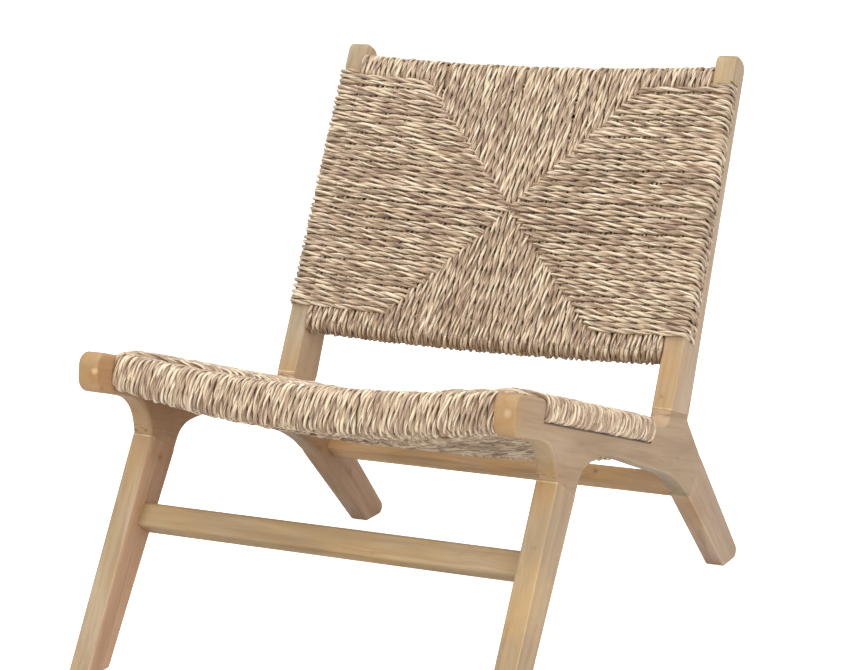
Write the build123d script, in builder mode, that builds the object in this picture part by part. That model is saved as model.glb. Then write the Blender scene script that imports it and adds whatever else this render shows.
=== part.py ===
from build123d import *
import math
import os

os.makedirs("parts", exist_ok=True)

# Lounge chair with two flat wooden side frames, round-edged cross members and a
# woven cord seat and back.  Millimetres, +Z up, front of the chair towards -Y,
# origin on the floor under the middle of the chair.

# ---------------------------------------------------------------- driving sizes
width = 601.6              # over the outer faces of the two side frames
side_t = 29.3              # thickness of the side frame timber
depth_half = 409.06        # the front foot edge lies this far in front of the origin
edge_r = 3.5               # rounding of the long edges of the legs and posts
rail_edge_r = 5.0          # and of the seat side rails

rail_angle = 17.8          # fall of the seat rails towards the back, degrees
rail_y, rail_z = 69.0, 405.0        # a point on the top line of the seat rail
bar_h = 18.0               # timber bar above the slot of the seat rail
slot_h = 7.5               # height of the slots the cord passes through
slot_s0, slot_s1 = 74.5, 431.0      # slot ends, measured along the seat rail
rebate = 2.5               # the outer face of the wrapped bar is set back
nose_up = 2.0              # the nose stands this much above the wrapped bar
seat_dish = 18.0           # the seat is this much lower in the middle, on top
under_dish = 25.0          # and this much lower in the middle, underneath

post_y, post_z = 569.3, 323.0       # a point on the front line of the back post
post_slope = 0.5479                 # its lean, y per z
pslot_q0, pslot_q1 = 46.0, 416.0    # ends of the post slot, along the post
pslot_v0, pslot_v1 = 32.4, 20.8     # its middle, behind the front line, at each end
back_bow = 22.0            # the back rails bow to the rear by this much
post_rebate = 3.0          # the outer face of the wrapped post is set back

cord_t = 7.5               # thickness of one layer of cord
wrap_out = 6.0             # how far the seat cord stands out of the side frames
back_out = 4.8             # and the back cord

front_s0, front_s1 = 34.0, 60.0     # front seat rail, along the seat rails
rear_s0, rear_s1 = 500.0, 526.0     # rear seat rail
rail_w0, rail_w1 = 0.0, -34.5       # top and underside of both at their ends
top_q0, top_q1 = 400.5, 429.5       # top back rail, along the posts
bot_q0, bot_q1 = 19.5, 47.5         # bottom back rail
top_v0, top_v1 = 1.0, 21.0          # top back rail, behind the post's front line
bot_v0, bot_v1 = 1.0, 29.0          # bottom back rail
member_r = 5.0             # rounding of the cross members

frame_dowel_r = 5.0        # dowels in the side frame joints
cross_dowel_r = 4.0        # dowels at the ends of the cross members
dowel_in = 18.0            # how deep each dowel goes into each of its two pieces

# ------------------------------------------------------------- derived geometry
x_out = width / 2.0
x_in = x_out - side_t
x_mid = x_out - side_t / 2.0
ca, sa = math.cos(math.radians(rail_angle)), math.sin(math.radians(rail_angle))
cb = 1.0 / math.hypot(1.0, post_slope)
sb = post_slope * cb


def side(*pairs):
    # side view points, given from the front foot edge
    return [(a - depth_half, b) for a, b in pairs]


def sw(s, w):
    # side view point s along the seat rail and w square to it
    return (rail_y - depth_half + ca * s + sa * w, rail_z - sa * s + ca * w)


def qv(q, v):
    # side view point q up the back post and v behind its front line
    return (post_y - depth_half + sb * q + cb * v, post_z + cb * q - sb * v)


def seat_plane(s):
    # across the seat rails, local y square to them, normal towards the back
    y, z = sw(s, 0.0)
    return Plane(origin=(0, y, z), x_dir=(-1, 0, 0), z_dir=(0, ca, -sa))


def back_plane(q):
    # across the posts, local y towards the rear, normal up the posts
    y, z = qv(q, 0.0)
    return Plane(origin=(0, y, z), x_dir=(1, 0, 0), z_dir=(0, sb, cb))


def joint_plane(a, b):
    # plane of a side frame joint from a to b, in the middle of the timber
    (ay, az), (by, bz) = side(a, b)
    length = math.hypot(by - ay, bz - az)
    return Plane(
        origin=(x_mid, (ay + by) / 2, (az + bz) / 2),
        x_dir=(0, (by - ay) / length, (bz - az) / length),
        z_dir=(0, -(bz - az) / length, (by - ay) / length),
    )


def cross_edges(part, *spots):
    # edges that run across the chair through given side view points
    found = []
    for y, z in side(*spots):
        found += [
            e
            for e in part.edges().filter_by(Axis.X)
            if math.hypot(e.center().Y - y, e.center().Z - z) < 1.0
        ]
    return found


def frame_edges(part, *joints):
    # outline edges of a side frame piece on its two flat faces, joints left out
    skip = []
    for a, b in joints:
        (ay, az), (by, bz) = side(a, b)
        skip.append(((ay + by) / 2, (az + bz) / 2))
    flat = part.faces().filter_by(Axis.X).filter_by(lambda f: f.area > 1500)
    found = []
    for face in flat:
        for e in face.outer_wire().edges():
            c = e.center()
            if all(math.hypot(c.Y - y, c.Z - z) > 4.0 for y, z in skip):
                found.append(e)
    return found


nose_top = (58.6, 410.4)
leg_joint = ((171.4, 275.5), (224.8, 241.5))
rear_joint = ((609.95, 139.5), (656.8, 183.0))
post_joint = ((543.5, 276.0), (608.9, 254.0))
leg_plane = joint_plane(*leg_joint)
rear_plane = joint_plane(*rear_joint)
post_plane = joint_plane(*post_joint)
pair = [(-15.0, 0.0), (15.0, 0.0)]      # two dowels side by side in each joint

front_seat_spots = [sw(47.0, -9.5), sw(47.0, -25.5)]
rear_seat_spots = [sw(513.0, -9.5), sw(513.0, -25.5)]
top_back_spots = [qv(408.5, 11.0), qv(421.5, 11.0)]
bottom_back_spots = [qv(26.5, 15.0), qv(40.5, 15.0)]
front_stretcher_spots = side((143.5, 163.8), (157.5, 174.2))
rear_stretcher_spots = side((646.8, 147.0), (659.2, 135.6))

# --------------------------------------------------------------- side frame, right
with BuildPart() as right_front_leg:
    with BuildSketch(Plane.YZ.offset(x_in)):
        with BuildLine():
            Polyline(
                *side((-2.0, 0.0), (52.3, 0.0), leg_joint[1], leg_joint[0]),
                close=True,
            )
        make_face()
    extrude(amount=side_t)
    fillet(frame_edges(right_front_leg.part, leg_joint, ((-2.0, 0), (52.3, 0))), edge_r)
    with Locations(leg_plane):
        with Locations(*pair):
            Cylinder(frame_dowel_r, 2 * dowel_in, mode=Mode.SUBTRACT)
    # dowel holes of the front stretcher, from the inner face
    with BuildSketch(Plane.YZ.offset(x_in)):
        with Locations(*front_stretcher_spots):
            Circle(cross_dowel_r)
    extrude(amount=dowel_in, mode=Mode.SUBTRACT)
right_front_leg.part.label = "right_front_leg"

with BuildPart() as right_rear_leg:
    with BuildSketch(Plane.YZ.offset(x_in)):
        with BuildLine():
            Polyline(
                *side(rear_joint[0], (750.3, 0.0), (813.6, 0.0), rear_joint[1]),
                close=True,
            )
        make_face()
    extrude(amount=side_t)
    fillet(cross_edges(right_rear_leg.part, (813.6, 0.0)), 11.0)
    fillet(cross_edges(right_rear_leg.part, (750.3, 0.0)), 6.5)
    fillet(
        frame_edges(right_rear_leg.part, rear_joint, ((754.0, 0), (791.0, 0))), edge_r
    )
    with Locations(rear_plane):
        with Locations(*pair):
            Cylinder(frame_dowel_r, 2 * dowel_in, mode=Mode.SUBTRACT)
    # dowel holes of the rear stretcher, from the inner face
    with BuildSketch(Plane.YZ.offset(x_in)):
        with Locations(*rear_stretcher_spots):
            Circle(cross_dowel_r)
    extrude(amount=dowel_in, mode=Mode.SUBTRACT)
right_rear_leg.part.label = "right_rear_leg"

with BuildPart() as right_back_post:
    with BuildSketch(Plane.YZ.offset(x_in)):
        with BuildLine():
            Polyline(
                *side(post_joint[0], post_joint[1], (824.5, 702.6), (787.8, 721.6)),
                close=True,
            )
        make_face()
    extrude(amount=side_t)
    fillet(cross_edges(right_back_post.part, (787.8, 721.6)), 13.0)
    fillet(cross_edges(right_back_post.part, (824.5, 702.6)), 17.0)
    fillet(frame_edges(right_back_post.part, post_joint), edge_r)
    with Locations(post_plane):
        with Locations(*pair):
            Cylinder(frame_dowel_r, 2 * dowel_in, mode=Mode.SUBTRACT)
    # through slot for the cord
    y0, z0 = qv(pslot_q0, pslot_v0)
    y1, z1 = qv(pslot_q1, pslot_v1)
    with BuildSketch(Plane.YZ.offset(x_in)):
        with Locations(((y0 + y1) / 2, (z0 + z1) / 2)):
            SlotOverall(
                math.hypot(y1 - y0, z1 - z0),
                slot_h,
                rotation=math.degrees(math.atan2(z1 - z0, y1 - y0)),
            )
    extrude(amount=side_t, mode=Mode.SUBTRACT)
    # the outer face is set back under the cord, from the front face to the slot
    with BuildSketch(Plane.YZ.offset(x_out - post_rebate)):
        with BuildLine():
            Polyline(
                qv(pslot_q0 + 2, -9.0), qv(pslot_q1 - 2, -9.0),
                qv(pslot_q1 - 2, pslot_v1), qv(pslot_q0 + 2, pslot_v0), close=True,
            )
        make_face()
    extrude(amount=post_rebate + 1.0, mode=Mode.SUBTRACT)
    # dowel holes of the two back rails, from the inner face
    with BuildSketch(Plane.YZ.offset(x_in)):
        with Locations(*top_back_spots, *bottom_back_spots):
            Circle(cross_dowel_r)
    extrude(amount=dowel_in, mode=Mode.SUBTRACT)
right_back_post.part.label = "right_back_post"

with BuildPart() as right_seat_side_rail:
    with BuildSketch(Plane.YZ.offset(x_in)):
        with BuildLine():
            underside = side(
                leg_joint[1], (231.5, 251.0), (239.8, 261.0), (253.0, 268.6),
                (280.0, 272.0), (312.0, 270.3), (353.0, 259.8), (406.0, 240.3),
                (462.0, 218.5), (508.0, 201.0), (545.0, 185.5), (567.0, 173.0),
                (584.0, 161.5), (597.5, 150.3), (609.95, 139.5),
            )
            Spline(*underside, tangents=[(0.58, 0.81), (0.709, -0.705)])
            Line(side(rear_joint[0])[0], side(rear_joint[1])[0])
            Polyline(
                *side(rear_joint[1], (605.0, 249.0), post_joint[1], post_joint[0],
                      (532.7, 256.2)),
                sw(slot_s0 + 5, 0.0), sw(slot_s0 - 1, nose_up),
                *side(nose_top, (51.0, 360.0), (90.0, 348.0))
            )
            nose = side(
                (90.0, 348.0), (131.0, 335.0), (149.0, 326.2), (161.3, 313.5),
                (167.3, 302.0), (169.9, 291.0), leg_joint[0],
            )
            Spline(*nose, tangents=[(0.957, -0.29), (0.0, -1.0)])
            Line(side(leg_joint[0])[0], side(leg_joint[1])[0])
        make_face()
    extrude(amount=side_t)
    fillet(cross_edges(right_seat_side_rail.part, nose_top), 17.0)
    fillet(cross_edges(right_seat_side_rail.part, (51.0, 360.0)), 19.0)
    fillet(cross_edges(right_seat_side_rail.part, (532.7, 256.2)), 24.0)
    fillet(cross_edges(right_seat_side_rail.part, (605.0, 249.0)), 5.0)
    fillet(
        frame_edges(right_seat_side_rail.part, leg_joint, rear_joint, post_joint),
        rail_edge_r,
    )
    with Locations(leg_plane, rear_plane, post_plane):
        with Locations(*pair):
            Cylinder(frame_dowel_r, 2 * dowel_in, mode=Mode.SUBTRACT)
    # slot under the wrapped bar
    y0, z0 = sw(slot_s0, -bar_h - slot_h / 2)
    y1, z1 = sw(slot_s1, -bar_h - slot_h / 2)
    with BuildSketch(Plane.YZ.offset(x_in)):
        with Locations(((y0 + y1) / 2, (z0 + z1) / 2)):
            SlotOverall(slot_s1 - slot_s0, slot_h, rotation=-rail_angle)
    extrude(amount=side_t, mode=Mode.SUBTRACT)
    # rebate on the outer face of the bar
    with BuildSketch(Plane.YZ.offset(x_out - rebate)):
        with BuildLine():
            Polyline(
                sw(slot_s0 + 2, -bar_h - slot_h / 2), sw(slot_s1 - 2, -bar_h - slot_h / 2),
                sw(slot_s1 - 2, 9.0), sw(slot_s0 + 2, 9.0), close=True,
            )
        make_face()
    extrude(amount=rebate + 1.0, mode=Mode.SUBTRACT)
    # dowel holes of the two seat rails, from the inner face
    with BuildSketch(Plane.YZ.offset(x_in)):
        with Locations(*front_seat_spots, *rear_seat_spots):
            Circle(cross_dowel_r)
    extrude(amount=dowel_in, mode=Mode.SUBTRACT)
right_seat_side_rail.part.label = "right_seat_side_rail"

# ---------------------------------------------------------------- side frame, left
with BuildPart() as left_front_leg:
    mirror(right_front_leg.part, about=Plane.YZ)
left_front_leg.part.label = "left_front_leg"

with BuildPart() as left_rear_leg:
    mirror(right_rear_leg.part, about=Plane.YZ)
left_rear_leg.part.label = "left_rear_leg"

with BuildPart() as left_back_post:
    mirror(right_back_post.part, about=Plane.YZ)
left_back_post.part.label = "left_back_post"

with BuildPart() as left_seat_side_rail:
    mirror(right_seat_side_rail.part, about=Plane.YZ)
left_seat_side_rail.part.label = "left_seat_side_rail"

# ------------------------------------------------------------------- cross members
with BuildPart() as front_seat_rail:
    with BuildSketch(seat_plane(front_s0)):
        with BuildLine():
            ThreePointArc((-x_in, rail_w0), (0, rail_w0 - seat_dish), (x_in, rail_w0))
            Line((x_in, rail_w0), (x_in, rail_w1))
            ThreePointArc((x_in, rail_w1), (0, rail_w1 - under_dish), (-x_in, rail_w1))
            Line((-x_in, rail_w1), (-x_in, rail_w0))
        make_face()
    extrude(amount=front_s1 - front_s0)
    fillet([e for e in front_seat_rail.edges() if e.length > 500], member_r)
    for face_x in (x_in, -x_in):
        with BuildSketch(Plane.YZ.offset(face_x)):
            with Locations(*front_seat_spots):
                Circle(cross_dowel_r)
        extrude(amount=math.copysign(dowel_in, -face_x), mode=Mode.SUBTRACT)
front_seat_rail.part.label = "front_seat_rail"

with BuildPart() as rear_seat_rail:
    with BuildSketch(seat_plane(rear_s0)):
        with BuildLine():
            ThreePointArc((-x_in, rail_w0), (0, rail_w0 - seat_dish), (x_in, rail_w0))
            Line((x_in, rail_w0), (x_in, rail_w1))
            ThreePointArc((x_in, rail_w1), (0, rail_w1 - under_dish), (-x_in, rail_w1))
            Line((-x_in, rail_w1), (-x_in, rail_w0))
        make_face()
    extrude(amount=rear_s1 - rear_s0)
    fillet([e for e in rear_seat_rail.edges() if e.length > 500], member_r)
    for face_x in (x_in, -x_in):
        with BuildSketch(Plane.YZ.offset(face_x)):
            with Locations(*rear_seat_spots):
                Circle(cross_dowel_r)
        extrude(amount=math.copysign(dowel_in, -face_x), mode=Mode.SUBTRACT)
rear_seat_rail.part.label = "rear_seat_rail"

with BuildPart() as top_back_rail:
    with BuildSketch(back_plane(top_q0)):
        with BuildLine():
            ThreePointArc((-x_in, top_v0), (0, top_v0 + back_bow), (x_in, top_v0))
            Line((x_in, top_v0), (x_in, top_v1))
            ThreePointArc((x_in, top_v1), (0, top_v1 + back_bow), (-x_in, top_v1))
            Line((-x_in, top_v1), (-x_in, top_v0))
        make_face()
    extrude(amount=top_q1 - top_q0)
    fillet([e for e in top_back_rail.edges() if e.length > 500], member_r)
    for face_x in (x_in, -x_in):
        with BuildSketch(Plane.YZ.offset(face_x)):
            with Locations(*top_back_spots):
                Circle(cross_dowel_r)
        extrude(amount=math.copysign(dowel_in, -face_x), mode=Mode.SUBTRACT)
top_back_rail.part.label = "top_back_rail"

with BuildPart() as bottom_back_rail:
    with BuildSketch(back_plane(bot_q0)):
        with BuildLine():
            ThreePointArc((-x_in, bot_v0), (0, bot_v0 + back_bow), (x_in, bot_v0))
            Line((x_in, bot_v0), (x_in, bot_v1))
            ThreePointArc((x_in, bot_v1), (0, bot_v1 + back_bow), (-x_in, bot_v1))
            Line((-x_in, bot_v1), (-x_in, bot_v0))
        make_face()
    extrude(amount=bot_q1 - bot_q0)
    fillet([e for e in bottom_back_rail.edges() if e.length > 500], member_r)
    for face_x in (x_in, -x_in):
        with BuildSketch(Plane.YZ.offset(face_x)):
            with Locations(*bottom_back_spots):
                Circle(cross_dowel_r)
        extrude(amount=math.copysign(dowel_in, -face_x), mode=Mode.SUBTRACT)
bottom_back_rail.part.label = "bottom_back_rail"

with BuildPart() as front_stretcher:
    with BuildSketch(Plane.YZ.offset(-x_in)):
        with BuildLine():
            Polyline(
                *side((127.0, 167.0), (155.0, 148.0), (176.2, 173.6), (148.2, 192.6)),
                close=True,
            )
        make_face()
    extrude(amount=2 * x_in)
    fillet([e for e in front_stretcher.edges() if e.length > 500], 4.5)
    for face_x in (x_in, -x_in):
        with BuildSketch(Plane.YZ.offset(face_x)):
            with Locations(*front_stretcher_spots):
                Circle(cross_dowel_r)
        extrude(amount=math.copysign(dowel_in, -face_x), mode=Mode.SUBTRACT)
front_stretcher.part.label = "front_stretcher"

with BuildPart() as rear_stretcher:
    with BuildSketch(Plane.YZ.offset(-x_in)):
        with BuildLine():
            Polyline(
                *side((633.0, 144.0), (657.0, 122.0), (672.9, 138.5), (648.6, 161.0)),
                close=True,
            )
        make_face()
    extrude(amount=2 * x_in)
    fillet([e for e in rear_stretcher.edges() if e.length > 500], 4.5)
    for face_x in (x_in, -x_in):
        with BuildSketch(Plane.YZ.offset(face_x)):
            with Locations(*rear_stretcher_spots):
                Circle(cross_dowel_r)
        extrude(amount=math.copysign(dowel_in, -face_x), mode=Mode.SUBTRACT)
rear_stretcher.part.label = "rear_stretcher"

# -------------------------------------------------------------------------- dowels
with BuildPart() as front_leg_dowels:
    with Locations(leg_plane):
        with Locations(*pair):
            Cylinder(frame_dowel_r, 2 * dowel_in)
    mirror(about=Plane.YZ)
front_leg_dowels.part.label = "front_leg_dowels"

with BuildPart() as rear_leg_dowels:
    with Locations(rear_plane):
        with Locations(*pair):
            Cylinder(frame_dowel_r, 2 * dowel_in)
    mirror(about=Plane.YZ)
rear_leg_dowels.part.label = "rear_leg_dowels"

with BuildPart() as back_post_dowels:
    with Locations(post_plane):
        with Locations(*pair):
            Cylinder(frame_dowel_r, 2 * dowel_in)
    mirror(about=Plane.YZ)
back_post_dowels.part.label = "back_post_dowels"

with BuildPart() as front_seat_rail_dowels:
    with BuildSketch(Plane.YZ.offset(x_in - dowel_in)):
        with Locations(*front_seat_spots):
            Circle(cross_dowel_r)
    extrude(amount=2 * dowel_in)
    mirror(about=Plane.YZ)
front_seat_rail_dowels.part.label = "front_seat_rail_dowels"

with BuildPart() as rear_seat_rail_dowels:
    with BuildSketch(Plane.YZ.offset(x_in - dowel_in)):
        with Locations(*rear_seat_spots):
            Circle(cross_dowel_r)
    extrude(amount=2 * dowel_in)
    mirror(about=Plane.YZ)
rear_seat_rail_dowels.part.label = "rear_seat_rail_dowels"

with BuildPart() as top_back_rail_dowels:
    with BuildSketch(Plane.YZ.offset(x_in - dowel_in)):
        with Locations(*top_back_spots):
            Circle(cross_dowel_r)
    extrude(amount=2 * dowel_in)
    mirror(about=Plane.YZ)
top_back_rail_dowels.part.label = "top_back_rail_dowels"

with BuildPart() as bottom_back_rail_dowels:
    with BuildSketch(Plane.YZ.offset(x_in - dowel_in)):
        with Locations(*bottom_back_spots):
            Circle(cross_dowel_r)
    extrude(amount=2 * dowel_in)
    mirror(about=Plane.YZ)
bottom_back_rail_dowels.part.label = "bottom_back_rail_dowels"

with BuildPart() as front_stretcher_dowels:
    with BuildSketch(Plane.YZ.offset(x_in - dowel_in)):
        with Locations(*front_stretcher_spots):
            Circle(cross_dowel_r)
    extrude(amount=2 * dowel_in)
    mirror(about=Plane.YZ)
front_stretcher_dowels.part.label = "front_stretcher_dowels"

with BuildPart() as rear_stretcher_dowels:
    with BuildSketch(Plane.YZ.offset(x_in - dowel_in)):
        with Locations(*rear_stretcher_spots):
            Circle(cross_dowel_r)
    extrude(amount=2 * dowel_in)
    mirror(about=Plane.YZ)
rear_stretcher_dowels.part.label = "rear_stretcher_dowels"

# --------------------------------------------------------------- woven cord, seat
c = cord_t

# turns of cord round the front and rear seat rails
seat_turns = []
for s0, s1 in ((front_s0 - c, front_s1 + c), (rear_s0 - c, rear_s1 + c)):
    with BuildPart() as rail_turn:
        with BuildSketch(seat_plane(s0)):
            with BuildLine():
                ThreePointArc((-x_in, c), (0, rail_w0 + c - seat_dish), (x_in, c))
                Line((x_in, c), (x_in, rail_w1 - c))
                ThreePointArc(
                    (x_in, rail_w1 - c), (0, rail_w1 - under_dish - c), (-x_in, rail_w1 - c)
                )
                Line((-x_in, rail_w1 - c), (-x_in, c))
            make_face()
        extrude(amount=s1 - s0)
        fillet([e for e in rail_turn.edges() if e.length > 500], 11.0)
    seat_turns.append(rail_turn.part)

# turns of cord round the bars of the side rails
for sign in (1, -1):
    with BuildPart() as bar_turn:
        with BuildSketch(seat_plane(slot_s0 + 2)):
            with BuildLine():
                Polyline(
                    (sign * x_in, c), (sign * (x_out + wrap_out - 1), c),
                    (sign * (x_out + wrap_out - 1), -bar_h - slot_h + 0.5),
                    (sign * x_in, -bar_h - slot_h + 0.5), close=True,
                )
            make_face()
        extrude(amount=slot_s1 - slot_s0 - 4)
        fillet(
            [e for e in bar_turn.edges() if e.length > 300 and abs(e.center().X) > x_out],
            6.0,
        )
    seat_turns.append(bar_turn.part)

with BuildPart() as seat_weave:
    # field between the side rails
    with BuildSketch(seat_plane(front_s1 + c - 2)):
        with BuildLine():
            ThreePointArc((-x_in, c), (0, rail_w0 + c - seat_dish), (x_in, c))
            Line((x_in, c), (x_in, -bar_h - slot_h))
            ThreePointArc(
                (x_in, -bar_h - slot_h),
                (0, rail_w1 - under_dish - c),
                (-x_in, -bar_h - slot_h),
            )
            Line((-x_in, -bar_h - slot_h), (-x_in, c))
        make_face()
    extrude(amount=rear_s0 - front_s1 - 2 * c + 4)
    add(seat_turns)
    add(front_seat_rail.part, mode=Mode.SUBTRACT)
    add(rear_seat_rail.part, mode=Mode.SUBTRACT)
    add(right_seat_side_rail.part, mode=Mode.SUBTRACT)
    add(left_seat_side_rail.part, mode=Mode.SUBTRACT)
    add(front_seat_rail_dowels.part, mode=Mode.SUBTRACT)
    add(rear_seat_rail_dowels.part, mode=Mode.SUBTRACT)
seat_weave.part.label = "seat_weave"

# --------------------------------------------------------------- woven cord, back
# turns of cord round the bars of the posts
back_turns = []
for x0, x1 in ((x_in, x_out + back_out), (-x_in, -x_out - back_out)):
    with BuildPart() as post_turn:
        with BuildSketch(Plane.YZ.offset(x0)):
            with BuildLine():
                Polyline(
                    qv(pslot_q0 + 2, -c), qv(pslot_q1 - 2, -c),
                    qv(pslot_q1 - 2, pslot_v1 + slot_h / 2 - 0.3),
                    qv(pslot_q0 + 2, pslot_v0 + slot_h / 2 - 0.3),
                    close=True,
                )
            make_face()
        extrude(amount=x1 - x0)
        fillet(
            [e for e in post_turn.edges() if e.length > 300 and abs(e.center().X) > x_out],
            5.0,
        )
    back_turns.append(post_turn.part)

with BuildPart() as back_weave:
    q_low, q_high = bot_q0 - c, top_q1 + c
    v_low, v_high = bot_v1 + c, top_v1 + c
    for q, v in ((q_low, v_low), (q_high, v_high)):
        with BuildSketch(back_plane(q)):
            with BuildLine():
                ThreePointArc((-x_in, -c), (0, back_bow - c), (x_in, -c))
                Line((x_in, -c), (x_in, v))
                ThreePointArc((x_in, v), (0, v + back_bow), (-x_in, v))
                Line((-x_in, v), (-x_in, -c))
            make_face()
    loft()
    fillet([e for e in back_weave.edges() if e.length > 530], 10.0)
    add(back_turns)
    add(top_back_rail.part, mode=Mode.SUBTRACT)
    add(bottom_back_rail.part, mode=Mode.SUBTRACT)
    add(right_back_post.part, mode=Mode.SUBTRACT)
    add(left_back_post.part, mode=Mode.SUBTRACT)
    add(top_back_rail_dowels.part, mode=Mode.SUBTRACT)
    add(bottom_back_rail_dowels.part, mode=Mode.SUBTRACT)
back_weave.part.label = "back_weave"

# -------------------------------------------------------------------------- export
export_step(right_front_leg.part, "parts/right_front_leg.step")
export_step(left_front_leg.part, "parts/left_front_leg.step")
export_step(right_rear_leg.part, "parts/right_rear_leg.step")
export_step(left_rear_leg.part, "parts/left_rear_leg.step")
export_step(right_back_post.part, "parts/right_back_post.step")
export_step(left_back_post.part, "parts/left_back_post.step")
export_step(right_seat_side_rail.part, "parts/right_seat_side_rail.step")
export_step(left_seat_side_rail.part, "parts/left_seat_side_rail.step")
export_step(front_seat_rail.part, "parts/front_seat_rail.step")
export_step(rear_seat_rail.part, "parts/rear_seat_rail.step")
export_step(top_back_rail.part, "parts/top_back_rail.step")
export_step(bottom_back_rail.part, "parts/bottom_back_rail.step")
export_step(front_stretcher.part, "parts/front_stretcher.step")
export_step(rear_stretcher.part, "parts/rear_stretcher.step")
export_step(front_leg_dowels.part, "parts/front_leg_dowels.step")
export_step(rear_leg_dowels.part, "parts/rear_leg_dowels.step")
export_step(back_post_dowels.part, "parts/back_post_dowels.step")
export_step(front_seat_rail_dowels.part, "parts/front_seat_rail_dowels.step")
export_step(rear_seat_rail_dowels.part, "parts/rear_seat_rail_dowels.step")
export_step(top_back_rail_dowels.part, "parts/top_back_rail_dowels.step")
export_step(bottom_back_rail_dowels.part, "parts/bottom_back_rail_dowels.step")
export_step(front_stretcher_dowels.part, "parts/front_stretcher_dowels.step")
export_step(rear_stretcher_dowels.part, "parts/rear_stretcher_dowels.step")
export_step(seat_weave.part, "parts/seat_weave.step")
export_step(back_weave.part, "parts/back_weave.step")
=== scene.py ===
import bpy
import math
import numpy as np
from mathutils import Matrix, Vector


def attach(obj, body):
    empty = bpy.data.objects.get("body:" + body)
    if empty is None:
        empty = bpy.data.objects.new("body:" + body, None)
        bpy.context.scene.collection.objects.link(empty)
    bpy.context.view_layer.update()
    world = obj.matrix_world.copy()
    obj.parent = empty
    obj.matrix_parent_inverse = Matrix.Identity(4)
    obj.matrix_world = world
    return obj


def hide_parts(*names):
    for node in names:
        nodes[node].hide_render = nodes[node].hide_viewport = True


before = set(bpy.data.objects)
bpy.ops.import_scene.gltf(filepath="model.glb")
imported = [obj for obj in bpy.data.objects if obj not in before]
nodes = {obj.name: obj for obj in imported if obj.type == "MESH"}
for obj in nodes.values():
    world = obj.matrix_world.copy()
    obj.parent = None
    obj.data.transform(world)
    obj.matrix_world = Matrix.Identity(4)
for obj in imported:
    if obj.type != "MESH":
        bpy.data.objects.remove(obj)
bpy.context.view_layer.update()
rng = np.random.default_rng(20)

# ------------------------------------------------------------ the chair's own frame
# the same driving sizes as the solids, in millimetres
HALF = 409.06
RAIL_ANGLE = math.radians(17.8)
CA, SA = math.cos(RAIL_ANGLE), math.sin(RAIL_ANGLE)
POST_SLOPE = 0.5479
CB = 1.0 / math.hypot(1.0, POST_SLOPE)
SB = POST_SLOPE * CB
X_OUT, X_IN = 300.8, 271.5


def seat_point(a, s, n):
    """Across, along the seat rail, square to it -> row frame, metres."""
    a, s, n = np.broadcast_arrays(a, s, n)
    return np.stack(
        [a, 69.0 - HALF + CA * s + SA * n, 405.0 - SA * s + CA * n], -1
    ) / 1000.0


def back_point(a, q, n):
    """Across, up the post, in front of the post's front line -> row frame, metres."""
    a, q, n = np.broadcast_arrays(a, q, n)
    return np.stack(
        [a, 569.3 - HALF + SB * q - CB * n, 323.0 + CB * q + SB * n], -1
    ) / 1000.0


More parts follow.
